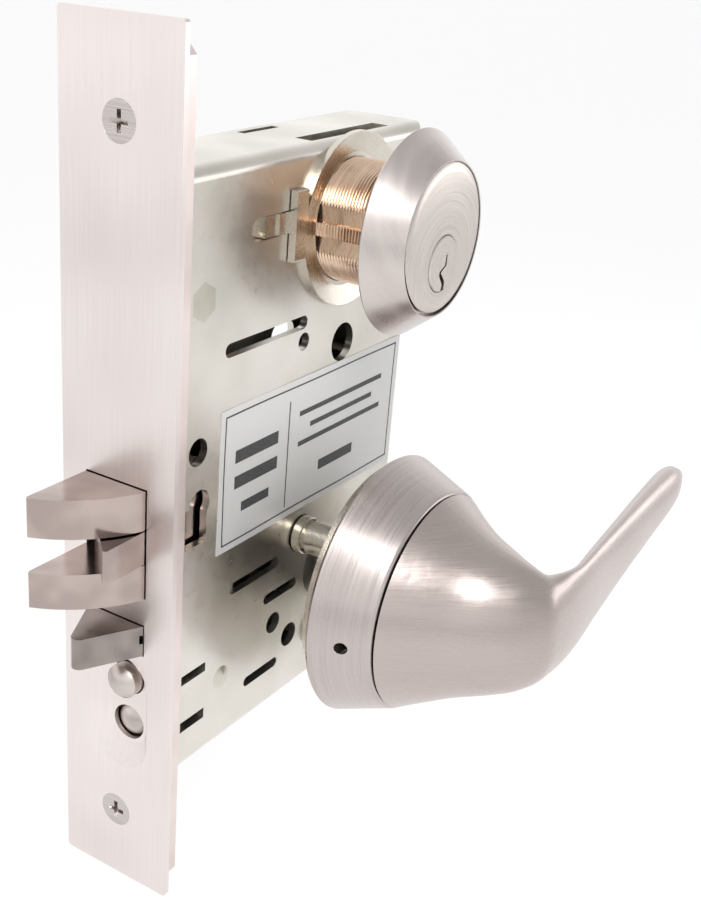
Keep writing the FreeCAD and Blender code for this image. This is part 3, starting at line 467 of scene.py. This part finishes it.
def sheet(name, low, high, height, step=0.0012):
    """A thin patch of the label between two (y, z) corners, standing height above the foil."""
    across = max(2, int((high[0] - low[0]) / step))
    upright = max(2, int((high[1] - low[1]) / step))
    ys = [low[0] + (high[0] - low[0]) * k / across for k in range(across + 1)]
    zs = [low[1] + (high[1] - low[1]) * k / upright for k in range(upright + 1)]
    points = [(label_low.x + lift(y, z) + height, y, z) for z in zs for y in ys]
    wide = across + 1
    faces = [(r * wide + c, r * wide + c + 1, (r + 1) * wide + c + 1, (r + 1) * wide + c)
             for r in range(upright) for c in range(across)]
    # The rim's points, in order round the patch, are repeated on the case below.
    rim = [c for c in range(wide)]
    rim += [r * wide + across for r in range(1, upright + 1)]
    rim += [upright * wide + c for c in range(across - 1, -1, -1)]
    rim += [r * wide for r in range(upright - 1, 0, -1)]
    first = len(points)
    points += [(label_low.x, points[k][1], points[k][2]) for k in rim]
    for k in range(len(rim)):
        after = (k + 1) % len(rim)
        faces.append((rim[after], rim[k], first + k, first + after))
    faces.append(tuple(range(first + len(rim) - 1, first - 1, -1)))
    made = smooth_mesh(name, points, faces, 40)
    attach(made, "lock_case")
    return made


# The foil is brushed like the stainless pieces, and its clear lacquer mirrors less than bare metal.
brushed_foil = satin_stainless("label_foil", "D6D6D5", "CBCBCA", (0.4, 0.4, 12.0), 0.4, metallic=0.35)
foil = sheet("label_foil", (label_low.y, label_low.z), (label_high.y, label_high.z), 0.0)
foil.data.materials.append(brushed_foil)
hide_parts("case_label")
ink, ink_tree, ink_shader = plain("printing_ink", "37383A", 0.5, metallic=0.0)
blotches = ramp(ink_tree, grain(ink_tree, (0.5, 0.5, 0.5)), [(0.3, "2C2D2F"), (0.7, "424345")])
ink_tree.links.new(blotches.outputs["Color"], ink_shader.inputs["Base Color"])
ink_height = 0.00003
frame_inset = 0.0016
frame_line = 0.0004
front, back = label_low.y + frame_inset, label_high.y - frame_inset
bottom, top = label_low.z + frame_inset, label_high.z - frame_inset
printed = {
    "frame_top": ((front, top - frame_line), (back, top)),
    "frame_bottom": ((front, bottom), (back, bottom + frame_line)),
    "frame_front": ((front, bottom + frame_line), (front + frame_line, top - frame_line)),
    "frame_back": ((back - frame_line, bottom + frame_line), (back, top - frame_line)),
}
# The other marks in millimetres from the label's lower front corner: lowest corner, then highest.
marks_mm = {
    "divider": ((27.4, 2.9), (27.8, 30.8)),
    "bar_1": ((6.0, 21.5), (23.2, 24.7)),
    "bar_2": ((6.0, 15.0), (23.2, 18.2)),
    "bar_3": ((9.0, 8.5), (20.2, 10.9)),
    "bar_4": ((32.0, 25.7), (70.5, 27.0)),
    "bar_5": ((37.0, 21.7), (66.0, 23.0)),
    "bar_6": ((32.0, 17.7), (70.5, 19.0)),
    "bar_7": ((42.0, 8.4), (58.0, 11.1)),
}
for name, corners in marks_mm.items():
    printed[name] = [(label_low.y + y / 1000, label_low.z + z / 1000) for y, z in corners]
for name, (low, high) in printed.items():
    sheet("label_" + name, low, high, ink_height).data.materials.append(ink)


# ---- camera, floor and light -----------------------------------------------------------------
# A pale floor lies well below the lock. A soft light stands over it and a wider one behind it, a
# faint one fills from the left, and the pale room lights the rest.
def studio_light(name, place, aim, size, watts):
    lamp = bpy.data.lights.new(name, "AREA")
    lamp.shape = "RECTANGLE"
    lamp.size, lamp.size_y = size
    lamp.energy = watts
    made = bpy.data.objects.new(name, lamp)
    made.location = place
    made.rotation_euler = (Vector(aim) - Vector(place)).to_track_quat("-Z", "Y").to_euler()
    bpy.context.scene.collection.objects.link(made)


azimuth, elevation, roll = (math.radians(a) for a in (33.488, 24.691, 3.442))
backward = Vector((math.sin(azimuth) * math.cos(elevation), -math.cos(azimuth) * math.cos(elevation),
                   math.sin(elevation)))
right = Vector((math.cos(azimuth), math.sin(azimuth), 0))
up = backward.cross(right)
tilted_right = right * math.cos(roll) + up * math.sin(roll)
tilted_up = up * math.cos(roll) - right * math.sin(roll)
lens = bpy.data.cameras.new("camera")
lens.sensor_width = 36.0
lens.lens = 52.783
lens.shift_x = 0.0816
lens.shift_y = 0.0515
camera = bpy.data.objects.new("camera", lens)
camera.matrix_world = Matrix((tilted_right, tilted_up, backward)).transposed().to_4x4()
camera.location = (0.17285, -0.19818, 0.12375)
bpy.context.scene.collection.objects.link(camera)
bpy.context.scene.camera = camera
bpy.context.scene.view_settings.view_transform = "Standard"

floor_half = 14.0
floor_drop = 0.25
floor_corners = [(-floor_half, -floor_half, 0), (floor_half, -floor_half, 0),
                 (floor_half, floor_half, 0), (-floor_half, floor_half, 0)]
floor_mesh = bpy.data.meshes.new("floor")
floor_mesh.from_pydata(floor_corners, [], [(0, 1, 2, 3)])
floor_mesh.materials.append(plain("pale_floor", "FAFAFA", 0.8, metallic=0.0)[0])
floor = bpy.data.objects.new("floor", floor_mesh)
floor.location.z = cad_low.z - floor_drop
bpy.context.scene.collection.objects.link(floor)

# The room is white all round and a little darker overhead and to the right, as beside a soft box.
room = bpy.data.worlds.new("room")
room.use_nodes = True
sky = room.node_tree
darker_way = (0.62, 0.25, 0.74)
heading = add(sky, "VectorMath", {"operation": "DOT_PRODUCT", 1: darker_way},
              {0: add(sky, "TexCoord").outputs["Generated"]})
shade = ramp(sky, heading.outputs["Value"], [(0.3, "FFFFFF"), (0.85, "C6C6C6")])
sky.links.new(shade.outputs["Color"], sky.nodes["Background"].inputs["Color"])
sky.nodes["Background"].inputs["Strength"].default_value = 1.25
bpy.context.scene.world = room
middle = (cad_low + cad_high) / 2
studio_light("key", (0.55, -0.55, 0.75), middle, (0.2, 0.45), 4.6)
studio_light("back", (0.75, 1.05, 0.12), middle, (0.9, 0.35), 1.6)
studio_light("left", (-0.8, -0.9, 0.0), middle, (0.9, 0.4), 0.2)
